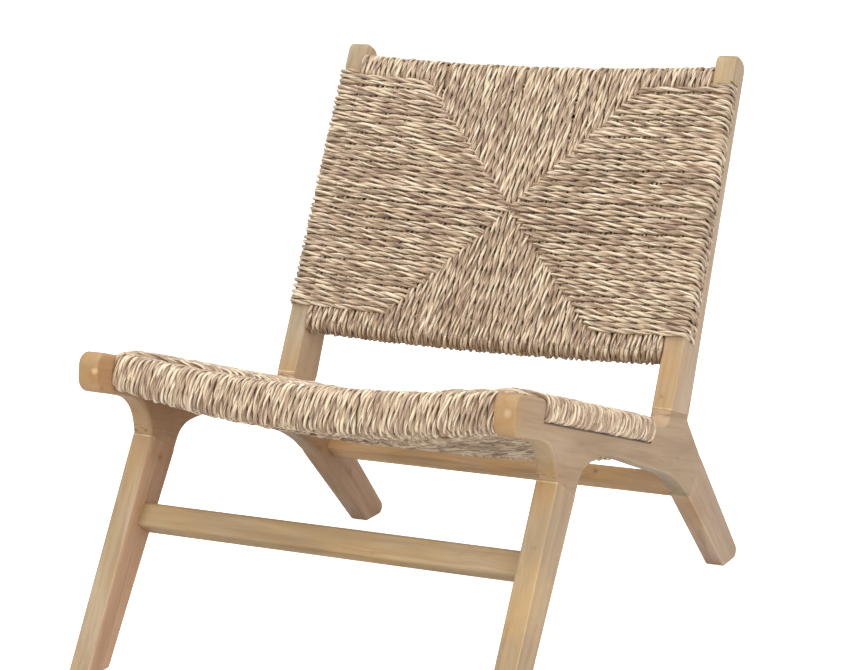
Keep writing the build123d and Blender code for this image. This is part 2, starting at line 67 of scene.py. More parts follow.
# ------------------------------------------------------------------- shader helpers
class Nodes:
    """Small helper to wire a procedural material."""

    def __init__(self, name):
        self.mat = bpy.data.materials.new(name)
        self.mat.use_nodes = True
        self.tree = self.mat.node_tree
        self.tree.nodes.clear()
        self.out = self.tree.nodes.new("ShaderNodeOutputMaterial")
        self.bsdf = self.tree.nodes.new("ShaderNodeBsdfPrincipled")
        self.link(self.bsdf.outputs[0], self.out.inputs[0])

    def new(self, kind, **props):
        node = self.tree.nodes.new(kind)
        for k, v in props.items():
            setattr(node, k, v)
        return node

    def link(self, a, b):
        self.tree.links.new(a, b)

    def put(self, socket, value):
        if hasattr(value, "is_output") or isinstance(value, bpy.types.NodeSocket):
            self.link(value, socket)
        else:
            socket.default_value = value

    def math(self, op, a, b=None, c=None, clamp=False):
        node = self.new("ShaderNodeMath", operation=op, use_clamp=clamp)
        self.put(node.inputs[0], a)
        if b is not None:
            self.put(node.inputs[1], b)
        if c is not None:
            self.put(node.inputs[2], c)
        return node.outputs[0]

    def vmath(self, op, a, b=None):
        node = self.new("ShaderNodeVectorMath", operation=op)
        self.put(node.inputs[0], a)
        if b is not None:
            self.put(node.inputs[1], b)
        if op in ("DOT_PRODUCT", "LENGTH", "DISTANCE"):
            return node.outputs["Value"]
        return node.outputs["Vector"]

    def ramp(self, value, stops, interpolation="LINEAR"):
        node = self.new("ShaderNodeValToRGB")
        node.color_ramp.interpolation = interpolation
        el = node.color_ramp.elements
        while len(el) > 1:
            el.remove(el[-1])
        el[0].position, el[0].color = stops[0][0], tuple(stops[0][1]) + (1.0,)
        for p, col in stops[1:]:
            e = el.new(p)
            e.color = tuple(col) + (1.0,)
        self.put(node.inputs[0], value)
        return node.outputs[0]

    def mix(self, fac, a, b, blend="MIX"):
        node = self.new("ShaderNodeMix", data_type="RGBA", blend_type=blend)
        self.put(node.inputs[0], fac)
        for sock, v in ((node.inputs[6], a), (node.inputs[7], b)):
            if isinstance(v, bpy.types.NodeSocket):
                self.link(v, sock)
            else:
                sock.default_value = tuple(v) + (1.0,)
        return node.outputs[2]

    def noise(self, vector, scale, detail=3.0, rough=0.55, dist=0.0):
        node = self.new("ShaderNodeTexNoise")
        self.put(node.inputs["Vector"], vector)
        node.inputs["Scale"].default_value = scale
        node.inputs["Detail"].default_value = detail
        node.inputs["Roughness"].default_value = rough
        node.inputs["Distortion"].default_value = dist
        return node.outputs["Fac"]

    def maprange(self, value, a, b, c, d):
        node = self.new("ShaderNodeMapRange")
        self.put(node.inputs["Value"], value)
        node.inputs["From Min"].default_value = a
        node.inputs["From Max"].default_value = b
        node.inputs["To Min"].default_value = c
        node.inputs["To Max"].default_value = d
        return node.outputs["Result"]

    def bump(self, height, strength, distance, normal=None):
        node = self.new("ShaderNodeBump")
        node.inputs["Strength"].default_value = strength
        node.inputs["Distance"].default_value = distance
        self.put(node.inputs["Height"], height)
        if normal is not None:
            self.link(normal, node.inputs["Normal"])
        return node.outputs["Normal"]


def lin(r, g, b):
    """Display colour 0-255 to linear."""
    out = []
    for v in (r, g, b):
        v = v / 255.0
        out.append(v / 12.92 if v <= 0.04045 else ((v + 0.055) / 1.055) ** 2.4)
    return tuple(out)


def sep_coord(n, coord, axis):
    node = n.new("ShaderNodeSeparateXYZ")
    n.link(coord, node.inputs[0])
    return node.outputs[axis]


HONEY = (lin(157, 134, 99), lin(173, 152, 117), lin(187, 168, 136))
TAN = (lin(162, 136, 108), lin(175, 150, 121), lin(185, 161, 132))
INNER_SHADE = (lin(168, 135, 102), lin(182, 149, 115), lin(193, 162, 127))
WARM = lin(190, 142, 84)


# ----------------------------------------------------------------------------- wood
def wood(name, along, seed, knots=(), joints=(), tone_and_highlight_patches=(), warm=1.0, frame_side=True,
         outward=0.0, highlight_damp_centre=None, tint=None, slot_shadow_line=None):
    """Planed pale hardwood with its grain along one direction of the piece."""
    n = Nodes(name)
    coord = n.new("ShaderNodeTexCoord").outputs["Object"]
    along = Vector(along).normalized()
    side = Vector((1, 0, 0)) if abs(along.x) < 0.9 else Vector((0, 0, 1))
    third = along.cross(side).normalized()
    side = third.cross(along).normalized()
    # piece coordinates: u along the grain, v and w across it
    u = n.vmath("DOT_PRODUCT", coord, tuple(along))
    v = n.vmath("DOT_PRODUCT", coord, tuple(side))
    w = n.vmath("DOT_PRODUCT", coord, tuple(third))
    off = Vector((seed * 3.17 % 7, seed * 1.73 % 5, seed * 2.31 % 6))

    def grain(su, sv, sw, extra=0.0):
        comb = n.new("ShaderNodeCombineXYZ")
        n.link(n.math("MULTIPLY_ADD", u, su, off.x + extra), comb.inputs[0])
        n.link(n.math("MULTIPLY_ADD", v, sv, off.y + extra), comb.inputs[1])
        n.link(n.math("MULTIPLY_ADD", w, sw, off.z + extra), comb.inputs[2])
        return comb.outputs[0]

    broad = n.noise(grain(3.0, 16, 22), 1.0, 2.0, 0.5, 0.8)
    figure = n.noise(grain(5, 70, 110, 3.0), 1.0, 4.0, 0.6, 1.1)
    fine = n.noise(grain(26, 620, 620, 9.0), 1.0, 3.0, 0.65, 0.2)
    pores = n.noise(grain(60, 1500, 1500, 5.0), 1.0, 2.0, 0.6, 0.0)
    blotch = n.noise(grain(11, 17, 17, 21.0), 1.0, 2.0, 0.5, 0.4)
    rings = n.noise(grain(2.6, 26, 52, 40.0), 1.0, 1.0, 0.4, 1.4)

    # edge faces are honey coloured, the broad side faces a greyer tan
    nrm = n.new("ShaderNodeNewGeometry").outputs["Normal"]
    sep = n.new("ShaderNodeSeparateXYZ")
    n.link(nrm, sep.inputs[0])
    nx = n.math("ABSOLUTE", sep.outputs[0])
    flat = n.maprange(nx, 0.72, 0.97, 0.0, 1.0)

    honey = n.ramp(broad, [
        (0.30, HONEY[0]), (0.48, HONEY[1]), (0.68, HONEY[2]),
    ])
    tan = n.ramp(broad, [
        (0.30, TAN[0]), (0.5, TAN[1]), (0.70, TAN[2]),
    ])
    if outward:
        # painted shade: the faces that look at the other side frame, which lie in the shade under the seat,
        # are given a warmer, redder tone
        inner = n.ramp(broad, [(0.30, INNER_SHADE[0]), (0.5, INNER_SHADE[1]), (0.70, INNER_SHADE[2])])
        facing = n.math("MULTIPLY", sep.outputs[0], outward)
        tan = n.mix(n.maprange(facing, -0.1, 0.1, 1.0, 0.0), tan, inner)
    col = n.mix(flat, honey, tan)
    # growth rings: a few slow bands, sharp on one side
    band = n.math("FRACT", n.math("MULTIPLY", rings, 7.0))
    ring = n.ramp(band, [(0.0, (0.90, 0.86, 0.82)), (0.16, (1, 1, 1)), (0.72, (1.0, 1.0, 1.0)), (1.0, (0.92, 0.885, 0.85))])
    col = n.mix(0.55, col, ring, "MULTIPLY")
    dark = n.ramp(figure, [(0.32, (0.76, 0.69, 0.62)), (0.50, (1, 1, 1)), (0.70, (1.07, 1.05, 1.02))])
    col = n.mix(0.62, col, dark, "MULTIPLY")
    streak = n.ramp(fine, [(0.30, (0.84, 0.79, 0.74)), (0.52, (1, 1, 1))])
    col = n.mix(0.50, col, streak, "MULTIPLY")
    warmth = n.ramp(blotch, [(0.44, (1, 1, 1)), (0.68, (1.05, 0.93, 0.72))])
    amount = n.maprange(flat, 0.0, 1.0, 0.80 * warm, 0.25 * warm)
    col = n.mix(amount, col, warmth, "MULTIPLY")
    poreline = n.ramp(pores, [(0.28, (0.80, 0.73, 0.66)), (0.38, (1, 1, 1))])
    col = n.mix(0.45, col, poreline, "MULTIPLY")

    # no two boards are quite the same: tint of the edge faces, of the flat faces
    if tint is not None:
        edge_tint, flat_tint = (tuple(c ** 2.2 for c in part) for part in tint)
        col = n.mix(1.0, col, n.mix(flat, edge_tint, flat_tint), "MULTIPLY")

    height = n.math("MULTIPLY_ADD", figure, 0.5, n.math("MULTIPLY", fine, 0.35))
    height = n.math("MULTIPLY_ADD", pores, 0.35, height)
    rough = n.maprange(fine, 0.2, 0.8, 0.40, 0.58)

    # patches where the wood is yellower or darker than the rest, and a few pale spots that are painted
    # highlights and a painted reflection
    for (kx, ky, kz), r, tint, much in tone_and_highlight_patches:
        wob = n.noise(coord, 60.0, 2.0, 0.5)
        d = n.vmath("DISTANCE", coord, (kx, ky, kz))
        d = n.math("MULTIPLY_ADD", n.math("SUBTRACT", wob, 0.5), r * 0.9, d)
        near = n.maprange(d, r * 0.35, r, abs(much), 0.0)
        if much < 0:               # on the edge faces only
            near = n.math("MULTIPLY", near, n.math("SUBTRACT", 1.0, flat))
        col = n.mix(near, col, tint)

    # painted shadow: a dark line is painted along the lower lip of the slot under the cord, where shade
    # falls in the crevice
    if slot_shadow_line is not None:
        (sy, sz), (ny, nz), (ay, az), reach = slot_shadow_line
        level = n.math("SUBTRACT", n.vmath("DOT_PRODUCT", coord, (0.0, ny, nz)), sy * ny + sz * nz)
        run = n.math("SUBTRACT", n.vmath("DOT_PRODUCT", coord, (0.0, ay, az)), sy * ay + sz * az)
        shadow_lip = n.maprange(n.math("ABSOLUTE", level), 0.0006, 0.0016, 1.0, 0.0)
        span = n.math("MULTIPLY", n.maprange(run, -0.001, 0.0, 0.0, 1.0),
                      n.maprange(run, reach, reach + 0.001, 1.0, 0.0))
        # painted shadow: dark brown mixed in along the slot's lower lip
        col = n.mix(n.math("MULTIPLY", n.math("MULTIPLY", shadow_lip, span), 0.85), col, lin(74, 48, 28))

    # painted highlight: the long rounded edges are painted paler where light catches their rounding; they
    # are also made smoother
    if frame_side:
        round_edge = n.math("MULTIPLY", n.math("MULTIPLY", nx, nx), 4.0)
        round_edge = n.math(
            "MULTIPLY", round_edge, n.math("SUBTRACT", 1.0, n.math("MULTIPLY", nx, nx)))
        edge = n.maprange(round_edge, 0.80, 1.0, 0.0, 1.0)
        painted_edge_highlight = n.maprange(blotch, 0.35, 0.62, 0.05, 0.45)
        # the painted edge highlight is damped near the given point
        if highlight_damp_centre is not None:
            away = n.vmath("DISTANCE", coord, highlight_damp_centre)
            painted_edge_highlight = n.math("MULTIPLY", painted_edge_highlight, n.maprange(away, 0.320, 0.370, 0.15, 1.0))
        # painted highlight: pale colour mixed in along the rounded edges
        col = n.mix(n.math("MULTIPLY", edge, painted_edge_highlight), col, lin(222, 196, 156))
        rough = n.math("SUBTRACT", rough, n.math("MULTIPLY", edge, 0.10))

    # small tight knots: dark heart, darker ring, swirl in the height
    for (kx, ky, kz), r in knots:
        wob = n.noise(coord, 160.0, 2.0, 0.5)
        d = n.vmath("DISTANCE", coord, (kx, ky, kz))
        d = n.math("MULTIPLY_ADD", wob, r * 0.5, n.math("SUBTRACT", d, r * 0.25))
        heart = n.maprange(d, r * 0.15, r * 1.0, 1.0, 0.0)
        halo = n.maprange(d, r * 0.8, r * 2.6, 1.0, 0.0)
        col = n.mix(n.math("MULTIPLY", halo, 0.34), col, lin(150, 110, 66))
        col = n.mix(n.math("MULTIPLY", heart, 0.60), col, lin(92, 64, 40))
        height = n.math("MULTIPLY_ADD", heart, -0.8, height)

    # each glued joint: a pale line, fine dark cracks beside it on the edge
    # faces, honey coloured wood round it; next to nothing shows on the broad faces
    edge_only = n.math("SUBTRACT", 1.0, n.math("MULTIPLY", flat, 0.88))
    for (px, py, pz), (jx, jy, jz), crack_side, shown in joints:
        honeyed = n.math("MULTIPLY", edge_only, shown)
        signed = n.math(
            "SUBTRACT", n.vmath("DOT_PRODUCT", coord, (jx, jy, jz)),
            px * jx + py * jy + pz * jz,
        )
        wave = n.noise(grain(60, 60, 60, 7.0), 1.0, 2.0, 0.5)
        signed = n.math("MULTIPLY_ADD", n.math("SUBTRACT", wave, 0.5), 0.0016, signed)
        dist = n.math("ABSOLUTE", signed)
        glow = n.maprange(dist, 0.004, 0.060, 1.0, 0.0)
        col = n.mix(n.math("MULTIPLY", n.math("MULTIPLY", glow, 0.34), honeyed), col, WARM)
        # hair cracks on the side of the seat rail
        hair = n.new("ShaderNodeCombineXYZ")
        n.link(n.math("MULTIPLY", signed, 520.0), hair.inputs[0])
        n.link(n.math("MULTIPLY", sep_coord(n, coord, 0), 60.0), hair.inputs[1])
        n.link(n.math("MULTIPLY", sep_coord(n, coord, 1), 40.0), hair.inputs[2])
        hairs = n.noise(hair.outputs[0], 1.0, 2.0, 0.5, 0.6)
        crack = n.maprange(hairs, 0.53, 0.61, 0.0, 1.0)
        zone = n.math("MULTIPLY", signed, crack_side)
        zone = n.math("MULTIPLY", n.maprange(zone, 0.0010, 0.0030, 0.0, 1.0),
                      n.maprange(zone, 0.0050, 0.0120, 1.0, 0.0))
        crack = n.math("MULTIPLY", n.math("MULTIPLY", crack, zone), honeyed)
        col = n.mix(n.math("MULTIPLY", crack, 0.80), col, lin(104, 72, 44))
        line = n.maprange(dist, 0.0003, 0.0009, 1.0, 0.0)
        pale = n.maprange(n.math("ABSOLUTE", n.math("ADD", signed, 0.0011 * crack_side)),
                          0.0006, 0.0017, 1.0, 0.0)
        bits = n.maprange(wave, 0.40, 0.60, 0.35, 1.0)
        col = n.mix(n.math("MULTIPLY", n.math("MULTIPLY", pale, bits), n.math("MULTIPLY", honeyed, 0.62)),
                    col, lin(236, 212, 172))
        col = n.mix(n.math("MULTIPLY", n.math("MULTIPLY", line, 0.42), honeyed), col, lin(120, 86, 54))
        height = n.math("MULTIPLY_ADD", n.math("MULTIPLY", line, honeyed), -0.8, height)

    n.link(col, n.bsdf.inputs["Base Color"])
    n.link(rough, n.bsdf.inputs["Roughness"])
    n.bsdf.inputs["Specular IOR Level"].default_value = 0.42
    n.link(n.bump(height, 0.22, 0.0006), n.bsdf.inputs["Normal"])
    return n.mat


def side_dir(a, b):
    """Direction in the side view from a to b."""
    return (0.0, b[0] - a[0], b[1] - a[1])


def side_plane(a, b, x, crack_side):
    """Joint plane of the side frame through side view points a and b, metres."""
    my, mz = (a[0] + b[0]) / 2000.0 - HALF / 1000.0, (a[1] + b[1]) / 2000.0
    ly, lz = b[0] - a[0], b[1] - a[1]
    length = math.hypot(ly, lz)
    # the joint at the rear leg is planed so well that it hardly shows
    shown = 0.22 if (a, b) == rear_joint else 1.0
    return ((x, my, mz), (0.0, -lz / length, ly / length), crack_side, shown)


leg_joint = ((171.4, 275.5), (224.8, 241.5))
rear_joint = ((609.95, 139.5), (656.8, 183.0))
post_joint = ((543.5, 276.0), (608.9, 254.0))
dirs = {
    "front_leg": side_dir((25.0, 0.0), (197.0, 257.0)),
    "rear_leg": side_dir((781.0, 0.0), (618.0, 177.0)),
    "back_post": side_dir((576.0, 265.0), (804.0, 708.0)),
    "seat_side_rail": side_dir((69.0, 405.0), (530.0, 257.0)),
}
# each joint, and the side of its plane that the seat side rail lies on
piece_joints = {
    "front_leg": [(leg_joint, 1.0)],
    "rear_leg": [(rear_joint, 1.0)],
    "back_post": [(post_joint, -1.0)],
    "seat_side_rail": [(leg_joint, 1.0), (rear_joint, 1.0), (post_joint, -1.0)],
}


def spot(x, y, z):
    return (x / 1000.0, (y - HALF) / 1000.0, z / 1000.0)


knot_spots = {
    "left_front_leg": [(spot(-271.5, 188.4, 241.4), 0.0042), (spot(-286, 40, 60), 0.0018)],
    "left_seat_side_rail": [(spot(-271.5, 65, 362), 0.0018)],
    "right_seat_side_rail": [(spot(300.8, 566, 205), 0.0022)],
    "right_front_leg": [(spot(290, 126, 205), 0.0016)],
    "right_back_post": [(spot(283, 552, 291), 0.0026)],
    "left_back_post": [(spot(-271.5, 612, 352), 0.0024)],
    "left_rear_leg": [(spot(-271.5, 700, 90), 0.0026)],
    "front_stretcher": [(spot(70, 127, 172), 0.0024)],
    "rear_stretcher": [(spot(150, 640, 152), 0.0026)],
}
# lower lip of the seat slot, where the painted slot shadow lies: its front end, the normal, the way along
# it, its length
slot_y = (69.0 + CA * 76.0 + SA * -25.9 - HALF) / 1000.0
slot_z = (405.0 - SA * 76.0 + CA * -25.9) / 1000.0
SEAT_SLOT_SHADOW = ((slot_y, slot_z), (SA, CA), (CA, -SA), 0.353)

tints = {
    "right_seat_side_rail": ((0.955, 0.970, 1.01), (0.94, 0.93, 0.92)),
    "left_seat_side_rail": ((0.950, 0.965, 1.00), (0.97, 0.95, 0.96)),
    "right_back_post": ((0.980, 0.990, 1.03), (1.05, 1.07, 1.11)),
    "left_back_post": ((0.955, 0.963, 1.01), (1.03, 1.06, 1.08)),
    "right_front_leg": ((0.985, 0.965, 0.95), (1.00, 1.00, 0.985)),
    "left_front_leg": ((0.985, 0.975, 0.995), (1.06, 1.05, 1.09)),
    "right_rear_leg": ((1.10, 1.08, 1.17), (0.985, 0.978, 1.005)),
    "left_rear_leg": ((0.97, 0.91, 0.94), (1.01, 0.99, 1.02)),
    "front_stretcher": ((1.02, 1.00, 0.99), (1.0, 1.0, 1.0)),
    "rear_stretcher": ((1.17, 1.11, 1.09), (1.1, 1.1, 1.1)),
}
rust, pale_honey = lin(148, 100, 52), lin(214, 180, 128)
umber = lin(150, 108, 74)
tone_and_highlight_spots = {
    "left_seat_side_rail": [
        (spot(-286, 56, 386), 0.062, lin(178, 136, 82), 0.45),
        (spot(-276, 52, 378), 0.011, rust, 0.50),
        (spot(-275, 55.5, 386), 0.011, lin(166, 124, 76), 0.40),
        # painted highlight: a small pale streak on the nose's rounded inner edge
        (spot(-274.5, 54.6, 386), 0.0055, lin(222, 196, 156), 0.75),
        (spot(-271.5, 190, 318), 0.080, umber, 0.42),
        (spot(-286, 575, 172), 0.090, lin(152, 115, 90), -0.62),
    ],
    "right_seat_side_rail": [
        (spot(286, 56, 386), 0.055, lin(178, 138, 88), 0.40),
        (spot(290.5, 55, 386), 0.016, lin(166, 128, 80), 0.50),
        # painted highlight: a small pale spot in the middle of the nose's front face, inside a darker ring
        (spot(290.5, 54.6, 386.5), 0.0080, lin(206, 182, 152), 0.80),
        (spot(274, 54, 372), 0.014, rust, 0.25),
        # painted reflection: a pale grey patch on the edge faces of the arch's underside
        (spot(286, 490, 200), 0.110, lin(184, 163, 144), -0.60),
    ],
    "right_front_leg": [(spot(286, 100, 150), 0.060, pale_honey, 0.30)],
    "left_front_leg": [(spot(-286, 150, 250), 0.030, WARM, 0.25),
                       (spot(-271.5, 205, 250), 0.050, umber, 0.25)],
    "left_rear_leg": [(spot(-286, 640, 110), 0.085, umber, 0.36)],
    "right_rear_leg": [(spot(275, 640, 110), 0.050, umber, 0.30)],
    "right_back_post": [(spot(280, 575, 330), 0.045, WARM, 0.35)],
}
seed = 1.0
for side_name, x in (("right", 0.28615), ("left", -0.28615)):
    for part, along in dirs.items():
        name = side_name + "_" + part
        seed += 1.37
        mat = wood(
            name + "_wood", along, seed, knot_spots.get(name, ()),
            [side_plane(a, b, x, s) for (a, b), s in piece_joints[part]],
            tone_and_highlight_spots.get(name, ()), outward=1.0 if x > 0 else -1.0, tint=tints[name],
            highlight_damp_centre=(x, (330.0 - HALF) / 1000.0, 0.390) if part == "seat_side_rail" else None,
            # the seat side rails get the painted slot shadow
            slot_shadow_line=SEAT_SLOT_SHADOW if part == "seat_side_rail" else None,
        )
        nodes[name].data.materials.clear()
        nodes[name].data.materials.append(mat)
for name in ("front_seat_rail", "rear_seat_rail", "top_back_rail", "bottom_back_rail",
             "front_stretcher", "rear_stretcher"):
    seed += 1.37
    mat = wood(name + "_wood", (1, 0, 0), seed, knot_spots.get(name, ()), frame_side=False,
               tint=tints.get(name))
    nodes[name].data.materials.clear()
    nodes[name].data.materials.append(mat)
for name, o in nodes.items():
    if name.endswith("_dowels"):
        seed += 0.9
        o.data.materials.clear()
        o.data.materials.append(wood(name + "_wood", (1, 0, 0), seed, frame_side=False))
    if not name.endswith("_weave"):
        for p in o.data.polygons:
            p.use_smooth = True


# ----------------------------------------------------------------------------- cord
def cord_material(name, painted_light_level):
    """Two-ply twisted leaf cord: pale straw and taupe blades, fibres along the ply."""
    n = Nodes(name)

    def attr(label):
        node = n.new("ShaderNodeAttribute")
        node.attribute_name = label
        return node.outputs["Fac"]

    length, rnd = attr("ply_len"), attr("ply_rnd")
    cx, sx = attr("ply_cos"), attr("ply_sin")

    def field(around, along, shift):
        comb = n.new("ShaderNodeCombineXYZ")
        n.link(n.math("MULTIPLY", cx, around), comb.inputs[0])
        n.link(n.math("MULTIPLY", sx, around), comb.inputs[1])
        z = n.math("MULTIPLY_ADD", length, along, n.math("MULTIPLY_ADD", rnd, 91.7, shift))
        n.link(z, comb.inputs[2])
        return comb.outputs[0]

    blade = n.noise(field(0.55, 16.0, 0.0), 1.0, 2.0, 0.5, 0.3)
    inner = attr("ply_in")
    fibre = n.noise(field(6.5, 44.0, 57.0), 1.0, 3.0, 0.65, 0.1)
    fine = n.noise(field(15.0, 80.0, 77.0), 1.0, 2.0, 0.6, 0.0)
    # every ply is rolled from a few long flat leaf strips of different tone
    leaf = n.new("ShaderNodeTexVoronoi", feature="F1")
    n.link(field(1.25, 27.0, 31.0), leaf.inputs["Vector"])
    leaf.inputs["Scale"].default_value = 1.0
    leaf.inputs["Randomness"].default_value = 1.0
    cell = n.new("ShaderNodeSeparateColor")
    n.link(leaf.outputs["Color"], cell.inputs[0])
    edge = n.new("ShaderNodeTexVoronoi", feature="DISTANCE_TO_EDGE")
    n.link(field(1.25, 27.0, 31.0), edge.inputs["Vector"])
    edge.inputs["Scale"].default_value = 1.0
    edge.inputs["Randomness"].default_value = 1.0
    seam = n.maprange(edge.outputs["Distance"], 0.0, 0.055, 1.0, 0.0)

    tone = n.math("MULTIPLY_ADD", rnd, 0.17, n.math("MULTIPLY", cell.outputs[0], 0.70))
    tone = n.math("MULTIPLY_ADD", blade, 0.22, tone)
    col = n.ramp(tone, [
        (0.16, lin(150, 125, 106)), (0.38, lin(180, 155, 133)), (0.54, lin(205, 181, 155)),
        (0.66, lin(237, 218, 187)), (0.86, lin(250, 236, 211)),
    ])
    # each strip differs a little in hue as well
    hue = n.ramp(cell.outputs[1], [(0.0, (1.0, 0.965, 0.93)), (0.5, (1, 1, 1)), (1.0, (0.985, 0.995, 1.03))])
    col = n.mix(0.9, col, hue, "MULTIPLY")
    streak = n.ramp(fibre, [(0.30, (0.74, 0.68, 0.62)), (0.47, (1, 1, 1)), (0.70, (1.04, 1.03, 1.0))])
    col = n.mix(0.60, col, streak, "MULTIPLY")
    thin = n.ramp(fine, [(0.32, (0.82, 0.77, 0.70)), (0.46, (1, 1, 1))])
    col = n.mix(0.5, col, thin, "MULTIPLY")
    col = n.mix(n.math("MULTIPLY", seam, 0.42), col, lin(128, 96, 70))
    # painted light: one brightness level for the back's cords, another for the seat's
    col = n.mix(1.0, col, (painted_light_level, painted_light_level, painted_light_level), "MULTIPLY")
    # painted shade: the side of each ply that faces the other ply is darkened brown, as crevice shade where
    # the two plies press together
    ply_crevice_shade = n.ramp(inner, [(0.12, (0.50, 0.40, 0.32)), (0.52, (0.90, 0.87, 0.84)), (0.72, (1, 1, 1))])
    col = n.mix(0.62, col, ply_crevice_shade, "MULTIPLY")

    height = n.math("MULTIPLY_ADD", fibre, 0.7, n.math("MULTIPLY", fine, 0.3))
    height = n.math("MULTIPLY_ADD", seam, -0.9, height)
    height = n.math("MULTIPLY_ADD", cell.outputs[2], 0.5, height)
    n.link(col, n.bsdf.inputs["Base Color"])
    n.link(n.maprange(fibre, 0.25, 0.75, 0.48, 0.70), n.bsdf.inputs["Roughness"])
    n.bsdf.inputs["Specular IOR Level"].default_value = 0.32
    n.bsdf.inputs["Sheen Weight"].default_value = 0.06
    n.bsdf.inputs["Sheen Roughness"].default_value = 0.5
    n.link(n.bump(height, 0.55, 0.0006), n.bsdf.inputs["Normal"])
    return n.mat


# the same cord twice: the back's copy painted a little darker and the seat's lighter, as painted light,
# since the seat's top is lit more
cord_mats = {
    "back": cord_material("two_ply_leaf_cord_back", 0.955),
    "seat": cord_material("two_ply_leaf_cord_seat", 1.03),
}

PLY_R = 2.30       # radius of one ply, mm
HELIX_R = 1.75     # distance of a ply's middle from the cord's middle
SIDES = 8
STEP = 3.4         # ring spacing along the cord, mm


def smooth_loop(points, window):
    """Even 1 mm samples of a closed polyline, its corners rounded off."""
    p = np.asarray(points, float)
    q = np.vstack([p, p[:1]])
    d = np.r_[0, np.cumsum(np.linalg.norm(np.diff(q, axis=0), axis=1))]
    m = max(int(d[-1]), 60)
    t = np.linspace(0, d[-1], m, endpoint=False)
    r = np.stack([np.interp(t, d, q[:, i]) for i in range(p.shape[1])], -1)
    for _ in range(2):
        k = np.ones(window) / window
        pad = np.vstack([r[-window:], r, r[:window]])
        r = np.stack([np.convolve(pad[:, i], k, "same") for i in range(p.shape[1])], -1)
        r = r[window:-window]
    return r


def wander(t, total, amount, gen, waves=5):
    """Slow closed random wobble along a loop."""
    out = np.zeros_like(t)
    for k in range(1, waves + 1):
        out += gen.normal() * np.cos(2 * np.pi * k * t / total + gen.uniform(0, 6.28)) / k ** 0.6
    return out * amount / 1.6


